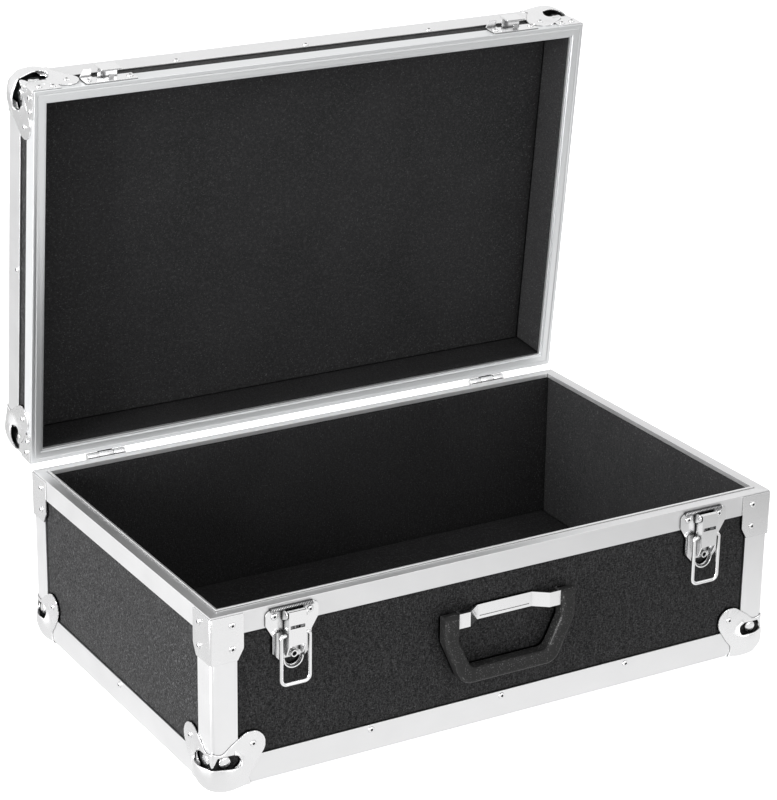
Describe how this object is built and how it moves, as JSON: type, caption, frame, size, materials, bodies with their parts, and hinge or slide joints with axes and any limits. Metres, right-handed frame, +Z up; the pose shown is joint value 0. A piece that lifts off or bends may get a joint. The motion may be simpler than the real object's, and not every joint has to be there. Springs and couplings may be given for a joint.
{
  "type": "guitar pedal case",
  "caption": "Hard flight-style case: lined black panels in aluminium edging with steel ball corners, hinged lid, draw latches and a folding carrying handle.",
  "frame": {"origin": "middle of the base's outline at floor level, under the ball corners", "axes": "+X to the right along the hinge, +Y to the back where the hinges are, +Z up"},
  "size_m": [0.576, 0.4337, 0.5368],
  "materials": {
    "panel": "plywood faced with black grained laminate",
    "lining": "black felt-faced foam",
    "aluminium": "satin anodised extrusion",
    "plated_steel": "bright zinc plate on pressed steel",
    "rivet": "bright domed rivet heads",
    "chrome": "nickel-chrome plate",
    "grip": "black moulded plastic"
  },
  "bodies": {
    "base": {"base_back_panel": "panel", "base_ball_corner_back_left": "plated_steel", "base_ball_corner_back_right": "plated_steel", "base_ball_corner_front_left": "plated_steel", "base_ball_corner_front_right": "plated_steel", "base_bottom_panel": "panel", "base_braces": "plated_steel", "base_corner_edging_back_left": "aluminium", "base_corner_edging_back_right": "aluminium", "base_corner_edging_front_left": "aluminium", "base_corner_edging_front_right": "aluminium", "base_edging_back": "aluminium", "base_edging_front": "aluminium", "base_edging_left": "aluminium", "base_edging_right": "aluminium", "base_floor_pad": "lining", "base_front_panel": "panel", "base_left_panel": "panel", "base_right_panel": "panel", "base_rim_back": "aluminium", "base_rim_front": "aluminium", "base_rim_left": "aluminium", "base_rim_right": "aluminium", "base_rivets": "rivet", "base_wall_lining": "lining", "handle_bracket": "chrome", "handle_screws": "chrome", "handle_studs": "chrome", "hinge_base_leaves": "plated_steel", "hinge_pins": "plated_steel", "latch_pins": "chrome", "latch_plate_left": "chrome", "latch_plate_right": "chrome"},
    "handle": {"handle_grip": "grip"},
    "left_lever": {"latch_lever_left": "chrome"},
    "right_lever": {"latch_lever_right": "chrome"},
    "left_bail": {"latch_bail_left": "chrome"},
    "right_bail": {"latch_bail_right": "chrome"},
    "lid": {"hinge_lid_leaves": "plated_steel", "latch_catches": "chrome", "lid_back_panel": "panel", "lid_ball_corner_back_left": "plated_steel", "lid_ball_corner_back_right": "plated_steel", "lid_ball_corner_front_left": "plated_steel", "lid_ball_corner_front_right": "plated_steel", "lid_braces": "plated_steel", "lid_corner_edging": "aluminium", "lid_edging_back": "aluminium", "lid_edging_front": "aluminium", "lid_edging_left": "aluminium", "lid_edging_right": "aluminium", "lid_front_panel": "panel", "lid_left_panel": "panel", "lid_pad": "lining", "lid_right_panel": "panel", "lid_rim": "aluminium", "lid_rivets": "rivet", "lid_top_panel": "panel", "lid_wall_lining": "lining"}
  },
  "joints": [
    {"name": "lid_hinge", "type": "hinge", "parent": "base", "child": "lid", "pos_m": [0, 0.1818, 0.16625], "axis": [-1, 0, 0], "range_deg": [-84, 0]},
    {"name": "handle_pivot", "type": "hinge", "parent": "base", "child": "handle", "pos_m": [0, -0.184, 0.115], "axis": [-1, 0, 0], "range_deg": [0, 100]},
    {"name": "left_lever_pivot", "type": "hinge", "parent": "base", "child": "left_lever", "pos_m": [-0.2065, -0.185, 0.1575], "axis": [-1, 0, 0], "range_deg": [0, 150]},
    {"name": "left_bail_pivot", "type": "hinge", "parent": "left_lever", "child": "left_bail", "pos_m": [-0.2065, -0.185, 0.139], "axis": [1, 0, 0], "range_deg": [-180, 0]},
    {"name": "right_lever_pivot", "type": "hinge", "parent": "base", "child": "right_lever", "pos_m": [0.2065, -0.185, 0.1575], "axis": [-1, 0, 0], "range_deg": [0, 150]},
    {"name": "right_bail_pivot", "type": "hinge", "parent": "right_lever", "child": "right_bail", "pos_m": [0.2065, -0.185, 0.139], "axis": [1, 0, 0], "range_deg": [-180, 0]}
  ]
}
